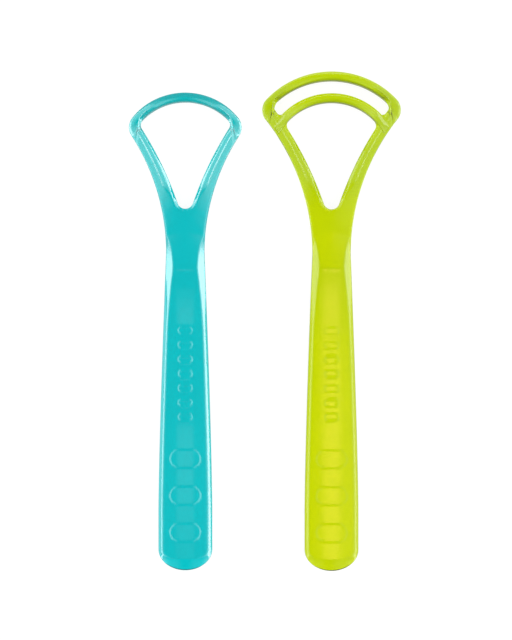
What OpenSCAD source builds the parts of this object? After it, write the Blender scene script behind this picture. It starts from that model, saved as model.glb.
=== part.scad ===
// A pair of hand tools for cleaning the tongue, lying on their flat backs: one with a single
// scraping blade and one with two. Each is one plastic moulding: a flat handle, a waist with
// wide bevels, a fork of two arms, and arched blades that stand up from the arms.
// Each scraper's own frame has its free end at y = 0, its long axis along +Y and its back at z = 0.

/* [Pair] */
// Distance between the long axes of the two scrapers
axis_gap = 43.75; // [42:0.25:60]
// How much further towards +Y the single-blade scraper lies than the other
single_lead = 0.2; // [0:0.05:0.4]

/* [Handle] */
// Width of the handle near its free end
handle_w = 16.1; // [14:0.1:19]
// Length of the handle, from its free end to the middle of the waist
handle_l = 94.8; // [80:0.2:110]
// Width of the waist
waist_w = 11.45; // [10.4:0.05:13]
// Thickness of the handle along its middle line
handle_t = 2.9; // [2.5:0.1:3.4]
// Greatest thickness, at the waist
waist_t = 4.4; // [3.8:0.1:5.4]
// Height of the thin outer edge of the handle
edge_t = 1.7; // [1.2:0.1:2.1]
// Height of the outer edge at the waist
waist_edge_t = 2.4; // [2:0.1:2.9]
// How far the face of the handle falls from its middle line to its edges
crown_h = 0.16; // [0.1:0.02:0.4]
// Length of the rounded free end
end_l = 6.3; // [5.5:0.1:8]
// Length of the slope between the handle's face and the tip of the free end
end_slope_l = 3.4; // [2:0.1:4]
// Width of the side bevel along the handle
bevel_w = 1.1; // [0.7:0.05:1.6]
// Width of the side bevel at the waist
waist_bevel_w = 2.2; // [1.7:0.05:2.6]

/* [Fork] */
// Distance from the middle of the waist to the bottom of the fork
neck_l = 13.4; // [12:0.2:16]
// Radius of the bottom of the fork
fork_r = 2.45; // [1.9:0.05:2.9]
// Angle between each arm's inner edge and the long axis at the bottom of the fork
fork_angle = 18.9; // [16:0.1:21]
// Radius of the outer flank of the neck and arms
flank_r = 65; // [60:0.5:72]
// Radius of the inner edge of each arm
arm_edge_r = 106; // [95:1:120]
// Height of the crest along each arm
arm_t = 3.1; // [2.8:0.1:3.5]
// Height of the outer edge of each arm
arm_edge_t = 2.4; // [2:0.1:2.6]
// Height of the inner edge of each arm
arm_inner_t = 2.2; // [1.7:0.1:2.5]
// Width of the bevel along the inner edge of each arm
arm_bevel_w = 0.8; // [0.5:0.05:1.1]

/* [Blades] */
// Distance from the bottom of the fork to the centre of the blades' arcs
arc_rise = 14.05; // [13:0.05:15]
// Outer radius of the inner blade, which both scrapers have
inner_arc_r = 20.55; // [19.8:0.05:21.2]
// Gap between the two blades of the double scraper, at their middle
blade_gap = 3.8; // [2.9:0.1:4]
// Width of a blade
blade_w = 2.7; // [2.3:0.05:3.1]
// Height of a blade above the flat back
blade_t = 4.8; // [4.2:0.1:5.6]
// How far a blade's face falls from its crest to its outer edge
blade_fall = 0.5; // [0.3:0.05:0.7]
// Height of a blade's inner edge
blade_inner_t = 4.05; // [3.7:0.05:4.3]
// Height of a blade's outer edge
blade_outer_t = 3.75; // [3.4:0.05:4.1]
// Width of the bevel along the inner edge of a blade
blade_inner_bevel_w = 0.55; // [0.3:0.05:0.7]
// Width of the bevel along the outer edge of a blade
blade_outer_bevel_w = 0.6; // [0.3:0.05:0.7]
// Width of that bevel round the head's corners
corner_bevel_w = 0.9; // [0.6:0.1:1.5]
// Radius of the outer corners of a head
outer_corner_r = 4.45; // [3.5:0.05:5]
// Radius of the corners of the opening
inner_corner_r = 1.9; // [1.2:0.05:2.4]

/* [Raised marks] */
// Height of the raised loops above the handle's face
mark_h = 0.15; // [0.1:0.05:0.25]
// Width of the line that a loop is drawn with
mark_line_w = 0.4; // [0.3:0.05:0.5]
// Length of a large loop, across the handle
large_loop_l = 9.4; // [8:0.2:10]
// Width of a large loop
large_loop_w = 5.6; // [4.6:0.2:6.4]
// Length of a small loop, across the handle
small_loop_l = 4.6; // [3.6:0.2:5.4]
// Width of a small loop
small_loop_w = 2.4; // [1.8:0.1:2.8]

/* [Back] */
// Height and width of the chamfer round the flat back
foot = 0.4; // [0.2:0.05:0.5]

/* [Hidden] */

// How the handle narrows towards the waist: 1 is a straight taper
taper_power = 1.37;
// How the waist rises from the handle: 1 is a straight ramp
rise_power = 1.7;
// How the waist's wide bevels run out towards the fork: 1 is straight
fade_power = 0.6;
// Squareness of the end of the handle's face: 2 is an ellipse
face_end_power = 3.6;
// Where the taper and the waist's rise begin and where the waist is thickest, on the handle's length
taper_start_share = 0.19;
rise_start_share = 0.745;
thickest_share = 0.955;
// Where the waist's wide bevels have run out, on the neck's length
fade_share = 0.5;
// Where the sections of the free end fan out from, on its length
fan_start_share = 0.78;
// Where the face begins beside the middle line, on its width
face_start_share = 0.15;
// Where the crest of an arm and of a blade runs, on its face's width from the inner edge
crest_share = 0.4;
// Shares of the face's width at which each section has its points
face_shares = [0, 0.2, 0.4, 0.6, 0.8, 1];
// How much of the arm's own form the neck and the end of the fork's round bottom have
neck_form_share = 0.2;
throat_form_share = 0.5;
// Where an arm has wholly its own form, on its length
arm_form_share = 0.35;
// How much of the inner bevel's depth the fork's bottom has
fork_cut_share = 0.5;
// How far the arm's face falls from its crest to its outer edge
arm_fall = 0.4;
// How round the crest of an arm and of a blade is: 1 is a ridge
crest_power = 1.25;
// Width of the bevel along the outer edge of each arm
arm_outer_bevel_w = 0.25;
// How much lower a blade is where it meets the arm at the head's corner
corner_drop = 1.7;
// How much lower a crossing blade is at its ends, and the width of the slope there
blade_end_drop = 0.9;
blade_end_w = 0.6;
// How much of that is made up round the head's corner, and on how much of the arc the rest is
corner_rise_share = 0.55;
arc_rise_share = 0.35;
// The length of the whole of that slope on a crossing blade, on its arc from flank to flank
blade_end_share = 0.16;
// Length of the flank along which the outer bevel widens to the corner's, and how much of it the
// inner edge has
wall_w = 0.9;
wall_in_share = 0.3;
// Length of the flank beside the opening's corner
turn_l = 2;
// How far the blade's inner edge runs round the head's corner, on the corner's radius
corner_in_share = 0.5;
// How far the inner blade of a double head ends inside the arms' outer edge
tuck = 0.12;
// How far one solid runs into or past another, so that they join or cut cleanly
overrun = 0.5;

// The raised loops: how many, the gaps between them, and where the first of each kind stands
large_loops = 3;
small_loops = 7;
large_loop_gap = 5.4;
small_loop_gap = 1.9;
first_large_y = 11.5;
first_small_y = 46;

// Steps along each stretch of a scraper's edge, and along a blade
fan_steps = 9;
handle_steps = 6;
rise_steps = 8;
fade_steps = 4;
neck_steps = 3;
fork_steps = 4;
arm_steps = 8;
turn_steps = 4;
corner_steps = 6;
arc_steps = 10;
blade_steps = 20;
round_steps = 48;

// One radian, in degrees
radian = 180 / PI;

waist_y = handle_l;
fork_y = waist_y + neck_l;
arc_y = fork_y + arc_rise;
outer_arc_r = inner_arc_r + blade_gap + blade_w;
overall_l = arc_y + outer_arc_r;
taper_y = handle_l * taper_start_share;
rise_y = handle_l * rise_start_share;
thickest_y = handle_l * thickest_share;
fade_y = waist_y + neck_l * fade_share;

arc_centre = [0, arc_y];
flank_centre = [waist_w / 2 + flank_r, waist_y];
fork_centre = [0, fork_y + fork_r];
arm_edge_centre = fork_centre + (arm_edge_r + fork_r) * [cos(fork_angle), -sin(fork_angle)];

function mix(a, b, w) = a + (b - a) * w;
function clamp01(w) = max(0, min(1, w));
function ease(w) = let (c = clamp01(w)) c * c * (3 - 2 * c);
function unit(v) = v / norm(v);
function polar(centre, r, angle) = centre + r * [cos(angle), sin(angle)];
function angle_of(v) = atan2(v.y, v.x);

// The crossing of two circles that lies on the left of the way from centre a to centre b.
function crossing(a, ra, b, rb) =
    let (d = norm(b - a), u = (b - a) / d, along = (d * d + ra * ra - rb * rb) / (2 * d),
         aside = sqrt(max(0, ra * ra - along * along)))
    a + along * u + aside * [-u.y, u.x];

// Centre of a head's rounded outer corner, where the flank meets a blade of outer radius arc_r.
function corner_centre(arc_r) =
    crossing(arc_centre, arc_r - outer_corner_r, flank_centre, flank_r + outer_corner_r);
// Centre of the opening's rounded corner, where the arm's inner edge meets that blade.
function hole_centre(arc_r) =
    crossing(arc_centre, arc_r - blade_w - inner_corner_r, arm_edge_centre, arm_edge_r + inner_corner_r);
// Half the width of a whole head.
function head_half_w(arc_r) = corner_centre(arc_r).x + outer_corner_r;

// Half the width of the handle at y, up to the waist, and of the neck above it.
function handle_half_w(y) =
    mix(handle_w, waist_w, pow(clamp01((y - taper_y) / (waist_y - taper_y)), taper_power)) / 2;
function flank_x(y) = flank_centre.x - sqrt(flank_r * flank_r - pow(y - waist_y, 2));
function side_x(y) = y < waist_y ? handle_half_w(y) : flank_x(y);
function flank_angle(y) = 180 - asin((y - waist_y) / flank_r);

// 0 on the handle, 1 where the waist is thickest, and 0 again where its wide bevels have run out.
function waist_share(y) = y < thickest_y
    ? pow(clamp01((y - rise_y) / (thickest_y - rise_y)), rise_power)
    : clamp01((fade_y - y) / (fade_y - thickest_y));

// A station says how one section lies and what its heights are, from the middle line or the inner
// edge to the outer edge: [inner, face_in, face_out, outer, inward, heights, form].
// inward points into the solid from the inner edge. heights are [face, inner edge, outer edge, how far
// an arm's or a blade's face falls from its crest, how much of the inner bevel's depth there is].
// form is 0 where the face is the handle's and 1 where it is an arm's or a blade's.

// One section of the free end, fanned out between the middle line and the rounded outline.
function fan_station(k) =
    let (angle = -90 + 90 * k / fan_steps, c = cos(angle), s = -sin(angle),
         r_out = 1 / sqrt(pow(c / (handle_w / 2), 2) + pow(s / end_l, 2)),
         r_face = 1 / pow(pow(c / (handle_w / 2 - bevel_w), face_end_power)
             + pow(s / (end_l - end_slope_l), face_end_power), 1 / face_end_power),
         middle = [0, end_l * mix(fan_start_share, 1, k / fan_steps)],
         face_out = polar([0, end_l], r_face, angle))
    [middle, mix(middle, face_out, face_start_share), face_out, polar([0, end_l], r_out, angle),
     [0, -1], [handle_t, handle_t, edge_t, 0, 0], 0];

// A section across the handle or the neck. It leans back as it nears the fork.
function handle_station(y) =
    let (share = waist_share(y),
         lean = ease((y - thickest_y) / (fork_y - thickest_y)) * tan(fork_angle),
         outer = [side_x(y - lean * side_x(y)), y - lean * side_x(y)],
         bevel = y < thickest_y
             ? mix(bevel_w, waist_bevel_w, share)
             : max(arm_outer_bevel_w, waist_bevel_w * pow(share, fade_power)),
         face_out = outer - bevel * unit(outer - [0, y]),
         face_t = mix(y < thickest_y ? handle_t : arm_t, waist_t, share))
    [[0, y], mix([0, y], face_out, face_start_share), face_out, outer, [0, -1],
     [face_t, face_t, mix(y < thickest_y ? edge_t : arm_edge_t, waist_edge_t, share), arm_fall, 0],
     neck_form_share * ease((y - fade_y) / (fork_y - fade_y))];

// A section across an arm, between two points of its edges. As blade goes from 0 to 1, its inner side
// and its crest turn into a blade's.
function arm_station(inner, outer, inward, form, cut, blade) =
    let (across = unit(outer - inner))
    [inner, inner + mix(arm_bevel_w, blade_inner_bevel_w, blade) * across,
     outer - arm_outer_bevel_w * across, outer, inward,
     [mix(arm_t, blade_t - corner_drop, blade), mix(arm_inner_t, blade_inner_t - corner_drop, blade),
      arm_edge_t, mix(arm_fall, blade_fall, blade), cut], form];

// A section across a blade. Towards the arms, where share is 0, it is lower and its outer bevel wider.
function blade_station(inner, outer, inward, share) =
    let (across = unit(outer - inner), drop = corner_drop * (1 - ease(share)),
         outer_bevel = mix(corner_bevel_w, blade_outer_bevel_w, ease(share / corner_rise_share)))
    [inner, inner + blade_inner_bevel_w * across, outer - outer_bevel * across, outer,
     inward, [blade_t - drop, blade_inner_t - drop, blade_outer_t - drop, blade_fall, 1], 1];

// Where the fork's round bottom ends, and how far back the sections there reach the flank.
throat = polar(fork_centre, fork_r, -fork_angle);
throat_outer_y = throat.y - (flank_x(throat.y) - throat.x) * cos(fork_angle) * sin(fork_angle);
fork_outer_y = fork_y - tan(fork_angle) * side_x(fork_y);

// All the stations of one half, from the tip of the free end to the middle of the outer blade.
function stations(arc_r) =
    let (corner = corner_centre(arc_r), hole = hole_centre(arc_r), in_r = arc_r - blade_w,
         arm_from = angle_of(throat - arm_edge_centre), arm_to = angle_of(hole - arm_edge_centre),
         hole_from = angle_of(arm_edge_centre - hole), hole_to = angle_of(hole - arc_centre),
         corner_from = angle_of(flank_centre - corner), corner_to = angle_of(corner - arc_centre),
         flank_from = flank_angle(throat_outer_y), flank_to = angle_of(corner - flank_centre),
         // The outer bevel widens along the last stretch of the flank. Before it, the arm turns
         // about the opening's corner.
         wall_from = flank_to + wall_w / flank_r * radian,
         turn_from = wall_from + turn_l / flank_r * radian,
         blade_from = hole_to + wall_in_share * wall_w / in_r * radian,
         blade_turned = blade_from + corner_in_share * outer_corner_r / in_r * radian)
    concat(
        [for (k = [0 : fan_steps - 1]) fan_station(k)],
        [for (k = [0 : handle_steps - 1]) handle_station(mix(end_l, rise_y, k / handle_steps))],
        [for (k = [0 : rise_steps - 1]) handle_station(mix(rise_y, thickest_y, k / rise_steps))],
        [for (k = [0 : fade_steps - 1]) handle_station(mix(thickest_y, fade_y, k / fade_steps))],
        [for (k = [0 : neck_steps - 1]) handle_station(mix(fade_y, fork_y, k / neck_steps))],
        [for (k = [0 : fork_steps - 1])
            let (w = k / fork_steps, outer_y = mix(fork_outer_y, throat_outer_y, w),
                 angle = mix(-90, -fork_angle, w))
            arm_station(polar(fork_centre, fork_r, angle), [flank_x(outer_y), outer_y],
                        [cos(angle), sin(angle)], mix(neck_form_share, throat_form_share, w),
                        fork_cut_share, 0)],
        [for (k = [0 : arm_steps - 1])
            let (w = k / arm_steps, angle = mix(arm_from, arm_to, w))
            arm_station(polar(arm_edge_centre, arm_edge_r, angle),
                        polar(flank_centre, flank_r, mix(flank_from, turn_from, w)),
                        -[cos(angle), sin(angle)],
                        mix(throat_form_share, 1, ease(w / arm_form_share)),
                        k == 0 ? fork_cut_share : 1, 0)],
        [for (k = [0 : turn_steps])
            let (w = k / turn_steps, angle = mix(hole_from, hole_to, w))
            arm_station(polar(hole, inner_corner_r, angle),
                        polar(flank_centre, flank_r, mix(turn_from, wall_from, w)),
                        [cos(angle), sin(angle)], 1, 1, ease(w))],
        [for (k = [0 : corner_steps - 1])
            let (w = k / corner_steps, angle = mix(blade_from, blade_turned, w))
            blade_station(polar(arc_centre, in_r, angle),
                          polar(corner, outer_corner_r, mix(corner_from, corner_to, w)),
                          [cos(angle), sin(angle)], w * corner_rise_share)],
        [for (k = [0 : arc_steps])
            let (w = k / arc_steps, angle = mix(blade_turned, 90, w))
            blade_station(polar(arc_centre, in_r, angle),
                          polar(arc_centre, arc_r, mix(corner_to, 90, w)),
                          [cos(angle), sin(angle)],
                          mix(corner_rise_share, 1, clamp01(w / arc_rise_share)))]);

// How far a crested face has fallen at a share of its width: 1 is the whole fall, at its outer edge.
function fallen(share) = pow(abs(share - crest_share) / (1 - crest_share), crest_power);

// Height of the face at a share of its width, x from the middle line.
function face_z(st, share, x) =
    st[5][0] - crown_h * (1 - st[6]) * pow(x / (handle_w / 2), 2) - st[5][3] * st[6] * fallen(share);

// One section as a closed ring: the face from the inner side out, the outer side, the back,
// which runs on below z = 0 to be cut off, and the inner side.
function ring(st) =
    let (inner = st[0], face_in = st[1], face_out = st[2], outer = st[3],
         across = unit(outer - inner), below = foot + overrun)
    concat(
        [[inner.x, inner.y, mix(face_z(st, 0, 0), st[5][1], st[5][4])]],
        [for (share = face_shares)
            let (p = mix(face_in, face_out, share)) [p.x, p.y, face_z(st, share, p.x)]],
        [[outer.x, outer.y, st[5][2]],
         [outer.x, outer.y, foot],
         concat(outer - below * across, -overrun),
         concat(inner + below * st[4], -overrun),
         [inner.x, inner.y, foot]]);

// Two triangles between neighbouring sections, turned over on the mirrored half.
function quad(a, b, c, d, turned) = turned ? [[a, c, b], [a, d, c]] : [[a, b, c], [a, c, d]];

// Handle, neck, arms and the head's outer blade in one loft. The two halves meet on the middle
// line, and from the fork to the blade each has an inner side of its own.
module handle_and_head(arc_r) {
    all = stations(arc_r);
    n = len(all);
    rings = [for (st = all) ring(st)];
    m = len(rings[0]);
    fork = fan_steps + handle_steps + rise_steps + fade_steps + neck_steps;
    // A point on the middle line belongs to both halves.
    function shared(k, j) = k == 0 || k == n - 1 || (k <= fork && (j == 0 || j == m - 2))
        || (k == fork && j == m - 1);
    function at(half, k, j) = (shared(k, j) ? 0 : half * n * m) + k * m + j;
    polyhedron(
        points = [for (sx = [1, -1], r = rings, p = r) [sx * p.x, p.y, p.z]],
        faces = [for (half = [0, 1], k = [0 : n - 2], j = [0 : m - 1])
            // Below the fork a half has no inner side, so the last two strips are left out there.
            if (k >= fork || j < m - 2)
                let (next = (j + 1) % m)
                each quad(at(half, k, j), at(half, k + 1, j), at(half, k + 1, next),
                          at(half, k, next), half == 1)],
        convexity = 8);
}

// Where the circle of radius r round the arcs' centre comes within a distance of the outline of a
// head whose outer blade has radius arc_r: on its rounded corner, or further down on the flank.
function reach_angle(r, distance, arc_r) =
    let (corner = corner_centre(arc_r),
         p = crossing(corner, outer_corner_r - distance, arc_centre, r),
         q = crossing(arc_centre, r, flank_centre, flank_r + distance),
         on_corner = norm(corner - arc_centre) - outer_corner_r + distance <= r
             && angle_of(p - corner) >= angle_of(flank_centre - corner))
    angle_of((on_corner ? p : q) - arc_centre);

// The section of a crossing blade: at each point its distance from the arcs' centre, its height, and
// how far inside the outline it ends.
function blade_section(r, end_share) =
    let (drop = blade_end_drop * (1 - ease(end_share)), in = r - blade_w, below = foot + overrun,
         end = tuck + blade_end_w)
    concat(
        [[in + below, -overrun, tuck + below],
         [in, foot, tuck],
         [in, blade_inner_t - drop, end]],
        [for (share = face_shares)
            [mix(in + blade_inner_bevel_w, r - blade_outer_bevel_w, share),
             blade_t - drop - blade_fall * fallen(share), end]],
        [[r, blade_outer_t - drop, end],
         [r, foot, tuck],
         [r - below, -overrun, tuck + below]]);

// A blade of outer radius r, from flank to flank across the arms of a head with a larger one.
module crossing_blade(r, arc_r) {
    steps = 2 * blade_steps;
    ends = [for (p = blade_section(r, 1)) reach_angle(p[0], p[2], arc_r)];
    m = len(ends);
    polyhedron(
        points = [for (k = [0 : steps])
            let (section = blade_section(r, min(k, steps - k) / steps / blade_end_share))
            for (j = [0 : m - 1])
                concat(polar(arc_centre, section[j][0], mix(ends[j], 180 - ends[j], k / steps)),
                       section[j][1])],
        faces = concat(
            [for (k = [0 : steps - 1], j = [0 : m - 1])
                let (next = (j + 1) % m)
                each quad(k * m + j, (k + 1) * m + j, (k + 1) * m + next, k * m + next, false)],
            [for (j = [1 : m - 2]) [0, j, j + 1]],
            [for (j = [1 : m - 2]) [steps * m, steps * m + j + 1, steps * m + j]]),
        convexity = 6);
}

// A flat bar with round ends, across the handle.
module stadium(l, w, h) {
    linear_extrude(h) {
        square([l - w, w], center = true);
        for (side = [-1, 1])
            translate([side * (l - w) / 2, 0])
                circle(d = w, $fn = round_steps);
    }
}

// A raised loop on the face of the handle, with its middle at y.
module loop_mark(y, l, w) {
    translate([0, y, handle_t - crown_h])
        difference() {
            stadium(l, w, crown_h + mark_h);
            translate([0, 0, -overrun])
                stadium(l - 2 * mark_line_w, w - 2 * mark_line_w, crown_h + mark_h + 2 * overrun);
        }
}

module marks() {
    for (k = [0 : large_loops - 1])
        loop_mark(first_large_y + k * (large_loop_w + large_loop_gap), large_loop_l, large_loop_w);
    for (k = [0 : small_loops - 1])
        loop_mark(first_small_y + k * (small_loop_w + small_loop_gap), small_loop_l, small_loop_w);
}

// A whole scraper whose outermost blade has radius arc_r, with the given blades inside that one.
// What runs on below the back is cut off flat.
module scraper(arc_r, crossing_rs) {
    difference() {
        union() {
            handle_and_head(arc_r);
            for (r = crossing_rs)
                crossing_blade(r, arc_r);
            marks();
        }
        translate([-handle_l, -handle_l, -2 * overrun])
            cube([2 * handle_l, 2 * handle_l + overall_l, 2 * overrun]);
    }
}

single_x = -(axis_gap + head_half_w(outer_arc_r) - head_half_w(inner_arc_r)) / 2;

module single_blade_scraper() {
    color([0.1, 0.74, 0.76])
        translate([single_x, single_lead - overall_l / 2, 0])
            scraper(inner_arc_r, []);
}

module double_blade_scraper() {
    color([0.77, 0.86, 0.08])
        translate([single_x + axis_gap, -overall_l / 2, 0])
            scraper(outer_arc_r, [inner_arc_r]);
}

single_blade_scraper();
double_blade_scraper();
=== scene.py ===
"""Looks of a pair of moulded tongue scrapers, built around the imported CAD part. All lengths are in metres.

Each scraper is one clear dyed moulding. Its surface is worked out from the same driving sizes as the
solid that it stands for, but finely, with rounded edges and with the raised loops and the crossing
blade grown into it. Plan points are complex numbers, x + iy, in the scraper's own frame, which has the
free end at y = 0, the long axis along +Y and the flat back at z = 0.
"""

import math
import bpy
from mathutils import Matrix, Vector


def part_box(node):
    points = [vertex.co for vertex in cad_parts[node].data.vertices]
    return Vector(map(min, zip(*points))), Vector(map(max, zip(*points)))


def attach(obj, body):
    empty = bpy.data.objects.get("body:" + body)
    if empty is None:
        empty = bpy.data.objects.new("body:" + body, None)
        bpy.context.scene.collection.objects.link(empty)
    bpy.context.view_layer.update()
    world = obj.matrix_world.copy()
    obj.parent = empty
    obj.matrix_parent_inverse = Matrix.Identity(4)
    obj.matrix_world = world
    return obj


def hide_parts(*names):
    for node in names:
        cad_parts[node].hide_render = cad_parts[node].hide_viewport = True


bl_info = {
    "name": "Tongue Scraper Pair",
    "version": (1, 0, 0),
    "blender": (4, 5, 0),
    "location": "View3D > Sidebar > Tongue Scrapers",
    "description": "Builds a pair of clear moulded tongue scrapers and the stage they lie on",
    "category": "Add Mesh",
}

from collections import namedtuple

import bmesh
import bpy
import numpy as np
from bpy.props import FloatProperty, FloatVectorProperty, IntProperty, PointerProperty
from mathutils import Matrix, Vector

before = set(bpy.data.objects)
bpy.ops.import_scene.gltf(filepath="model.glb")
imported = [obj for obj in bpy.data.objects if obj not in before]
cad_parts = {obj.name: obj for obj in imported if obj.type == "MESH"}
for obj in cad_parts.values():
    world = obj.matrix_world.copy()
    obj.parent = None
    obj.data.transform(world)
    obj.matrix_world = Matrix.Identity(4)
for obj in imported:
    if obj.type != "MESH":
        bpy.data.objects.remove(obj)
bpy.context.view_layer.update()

# Shape constants of the mouldings. A share is a part of the length or width that its comment names.
# How the handle narrows towards the waist, and how the waist rises: 1 is straight
TAPER_POWER = 1.37
RISE_POWER = 1.7
# How the waist's wide bevels run out towards the fork: 1 is straight
FADE_POWER = 0.6
# Squareness of the end of the handle's face: 2 is an ellipse
FACE_END_POWER = 2.7
# Where the taper and the rise begin and where the waist is thickest, on the handle's length
TAPER_START_SHARE = 0.19
RISE_START_SHARE = 0.745
THICKEST_SHARE = 0.955
# Where the waist's wide bevels have run out, on the neck's length
FADE_SHARE = 0.5
# Where the sections of the free end fan out from, on its length
FAN_START_SHARE = 0.78
# Where the handle's face begins beside the middle line, on its width
FACE_START_SHARE = 0.15
# Where the crest of an arm and of a blade runs, on its face's width from the inner edge, and how round
# it is: 1 is a ridge
CREST_SHARE = 0.4
CREST_POWER = 1.1
# How much of its own form an arm has where the bead along its crest begins, and how much of a blade's
# height it has where that bead begins to run out
BEAD_FORM = 0.9
BEAD_END_SHARE = 0.5
# How widely the crest of the waist is rounded, on its rise
WAIST_ROUND = 0.2
# Height of the middle of a bevel, on its drop
BEVEL_MID_SHARE = 0.5
# How much of the arm's own form the neck and the bottom of the fork have
NECK_FORM_SHARE = 0.35
THROAT_FORM_SHARE = 0.5
# How much of the inner bevel's depth the fork's bottom has
FORK_CUT_SHARE = 0.5
# Where an arm has wholly its own form, and where its inner bevel is at its full depth, on its length
ARM_FORM_SHARE = 0.35
ARM_BEVEL_SHARE = 0.08
# How much of the way up from a blade's low end lies round the head's corner, and how much of the arc
# the rest of it takes
CORNER_RISE_SHARE = 0.55
ARC_RISE_SHARE = 0.35
# How much of its arc from flank to flank each low end of a crossing blade takes
BLADE_END_SHARE = 0.16
# How far the blade's inner edge runs on while the outer bevel widens, on the widening's length
WALL_IN_SHARE = 0.3
# How far the blade's inner edge runs round the head's corner, on the corner's radius
CORNER_IN_SHARE = 0.5
# How much of an edge the rounding at one of its ends may take
BEND_SHARE = 0.45
# Where the points across the face lie, on its width, close together round the crest
FACE_SHARES = (
    0, 0.07, 0.14, 0.21, 0.27, 0.32, 0.345, 0.36, 0.375, 0.3875, 0.4, 0.4125, 0.425, 0.44, 0.455, 0.48,
    0.53, 0.6, 0.68, 0.76, 0.84, 0.92, 1,
)

# Steps along each stretch of a scraper, from the free end to the middle of the outer blade
FAN_STEPS = 30
HANDLE_STEPS = 70
RISE_STEPS = 44
FADE_STEPS = 24
NECK_STEPS = 16
FORK_STEPS = 20
ARM_STEPS = 56
TURN_STEPS = 24
WALL_STEPS = 16
CORNER_STEPS = 24
ARC_STEPS = 64
CROSSING_STEPS = 150
# Points along each rounded edge
EDGE_POINTS = 6
# Points round the corner between an arm and a crossing blade
WEB_POINTS = 16
# Points round a raised loop and across its bead
LOOP_POINTS = 96
BEAD_POINTS = 9
# How far the edges of a loop's bead are sunk into the face
LOOP_SINK = 0.000008
# How far above the back the crossing blades start, and the webs twice that, so that no backs share a
# plane
BACK_LIFT = 0.00001
# Points nearer than this are one point
MERGE_DISTANCE = 3e-7
# A smaller number than this is nothing
TINY = 1e-9
# Edges sharper than this stay sharp in the shading, in degrees
SHARP_ANGLE = 30

# Clear plastic: its index of refraction and its coat's, the roughness of the coat, how much gloss the
# lime one keeps, and how strongly the dye deepens
PLASTIC_IOR = 1.5
COAT_IOR = 1.8
COAT_ROUGHNESS = 0.03
LIME_GLOSS_TINT = 0.8
DYE_DENSITY = 1800
# Roughness where the gloss is best and worst, the levels of the noise there, and the roughness of a
# dull place
GLOSS_ROUGHNESS = (0.06, 0.12)
HAZE_LEVELS = (0.3, 0.7)
DULL_ROUGHNESS = 0.5
# Scale and detail of the streaks of the dye, of the haze and of the waves
FLOW_NOISE = (160, 3)
HAZE_NOISE = (420, 5)
WAVE_NOISE = (110, 1)
# How stretched the streaks and waves are along the handle, how much darker the dye is in the streaks,
# and how deep the waves are
FLOW_STRETCH = 0.22
FLOW_SHADE = 0.96
WAVE_DEPTH = 0.00002
# Ends of the soft steps that place a colour or a dull skin. On y: where the head and the blades begin,
# where the arms' rims begin and end, and where the free end's slope ends
HEAD_Y = (0.03, 0.045)
BLADES_Y = (0.052, 0.058)
ARM_START_Y = (0.018, 0.026)
ARM_END_Y = (0.042, 0.052)
FREE_END_Y = (-0.07, -0.062)
# On the distance from the long axis: where the blade ends, and where the head's corners begin
BLADE_REACH = (0.011, 0.016)
CORNER_REACH = (0.0155, 0.017)
# These steps place painted shade on sheer walls and walls that face the free end, and painted rim light
# On the normal: its |z| on sheer walls, its y on walls that face the free end, on the blades' outer rims
# and on the slope of the free end, its |x| at that slope's sides, and its x away from the axis on the
# arms' outer rims
SHEER_FACING = (0.3, 0.8)
INNER_WALL_FACING = (-0.8, -0.4)
BLADE_RIM_FACING = (0.25, 0.5)
END_SLOPE_FACING = (-0.3, -0.24)
END_SIDE_FACING = (0.25, 0.38)
FLANK_FACING = (0.35, 0.6)

# Diffuse level and glow of the floor that is seen
FLOOR_SEEN = 0.15
FLOOR_GLOW = 0.9
# Light of the studio's tent: overhead, at its sides and at its open ends, its levels in between by
# slope, where the open ends begin by |y|, and how far it leans to the left by slope
TENT_OPEN = 0.055
TENT_SIDE = 0.5
TENT_END = 0.08
TENT_LEVELS = ((0.07, 0.07), (0.1, 0.16), (0.16, 0.45), (0.24, 0.8), (0.5, 1.1), (0.7, 2.8))
TENT_END_Y = (0.55, 0.9)
TENT_LEAN = 0.04
# Added under the root of the slope, which would be 0 straight along y
TINY_SQUARE = 1e-6
# How many strips hang below each other over a scraper, how far apart, and how much shorter and narrower
# each is than the one above it
STRIPS = 3
STRIP_STEP = 0.002
STRIP_INSET = 0.03
STRIP_NARROWING = 0.12
# Each scraper's widest strip, from y = -far to y = -near, and its light
SINGLE_STRIPS = {"far": 0.21, "near": 0.085, "radiance": 0.07, "tint": (1.0, 1.0, 1.0)}
DOUBLE_STRIPS = {"far": 0.27, "near": 0.01, "radiance": 1.6, "tint": (1.0, 0.5, 0.17)}
# Light of the softboxes
BACK_BOX_LIGHT = 2.4
LEFT_BOX_LIGHT = 3.0
RIGHT_BOX_LIGHT = 4.0
# The camera's sensor and lens, in millimetres
SENSOR_WIDTH = 36
LENS = 131


def length(name, description, default, lowest=0.0):
    """A size in metres that the panel shows."""
    return FloatProperty(
        name=name, description=description, default=default, min=lowest, subtype="DISTANCE", unit="LENGTH",
        precision=4,
    )


def angle(name, description, default):
    """An angle in degrees, kept in radians."""
    return FloatProperty(
        name=name, description=description, default=math.radians(default), subtype="ANGLE",
        unit="ROTATION",
    )


def colour(name, description, default):
    """A linear colour."""
    return FloatVectorProperty(
        name=name, description=description, default=default, size=3, min=0, max=1, subtype="COLOR"
    )


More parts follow.
